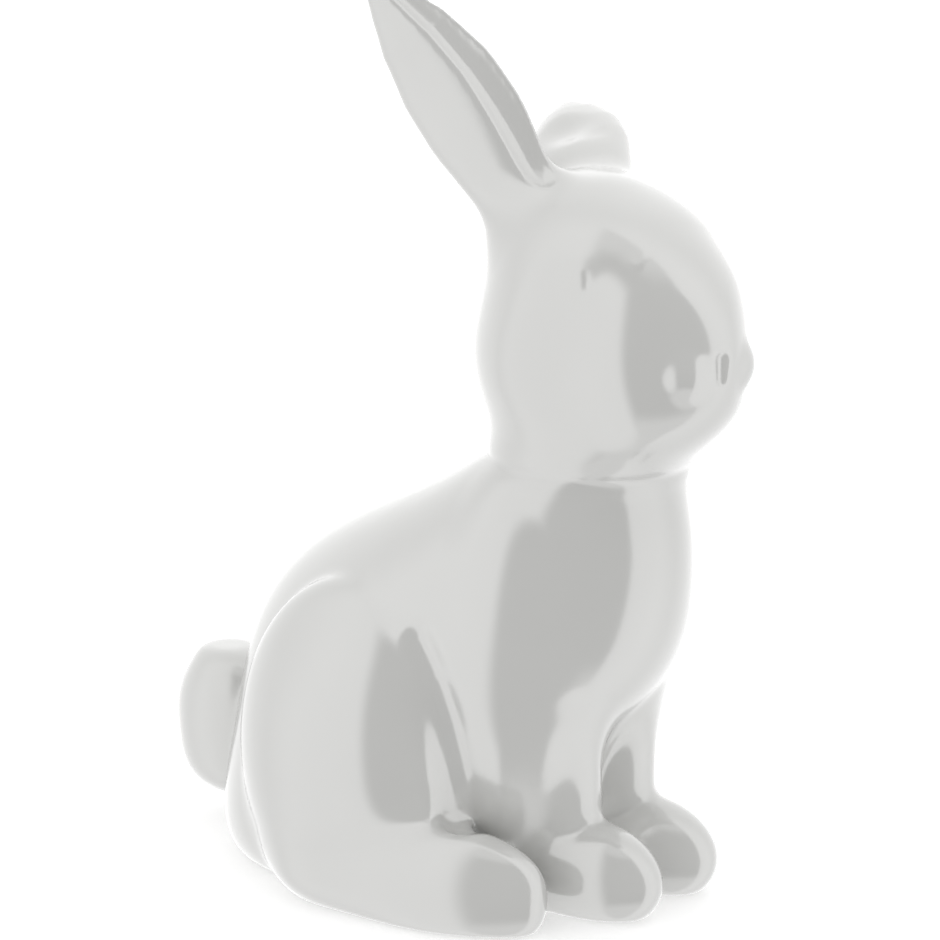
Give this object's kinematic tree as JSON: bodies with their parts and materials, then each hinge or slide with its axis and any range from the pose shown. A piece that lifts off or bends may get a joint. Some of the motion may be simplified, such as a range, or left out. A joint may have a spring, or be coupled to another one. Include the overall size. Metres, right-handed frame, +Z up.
{
  "type": "rabbit figurine",
  "caption": "Hollow glazed ceramic rabbit that sits upright, with one ear raised and the other laid back.",
  "frame": {"origin": "on the flat foot's plane, in the middle plane of the body, under the middle of the haunches", "axes": "+Z up, out of the flat foot; the rabbit faces -Y and its right side is -X"},
  "size_m": [0.0944, 0.1485, 0.2008],
  "materials": {
    "glazed_body": "white high-gloss glaze",
    "bare_clay": "fired, unglazed white clay"
  },
  "bodies": {
    "root": {"body_shell": "glazed_body", "head_shell": "glazed_body", "right_ear": "glazed_body", "left_ear": "glazed_body", "tail": "glazed_body", "right_foreleg": "glazed_body", "left_foreleg": "glazed_body", "right_hind_foot": "glazed_body", "left_hind_foot": "glazed_body", "base_disc": "bare_clay"}
  },
  "joints": []
}
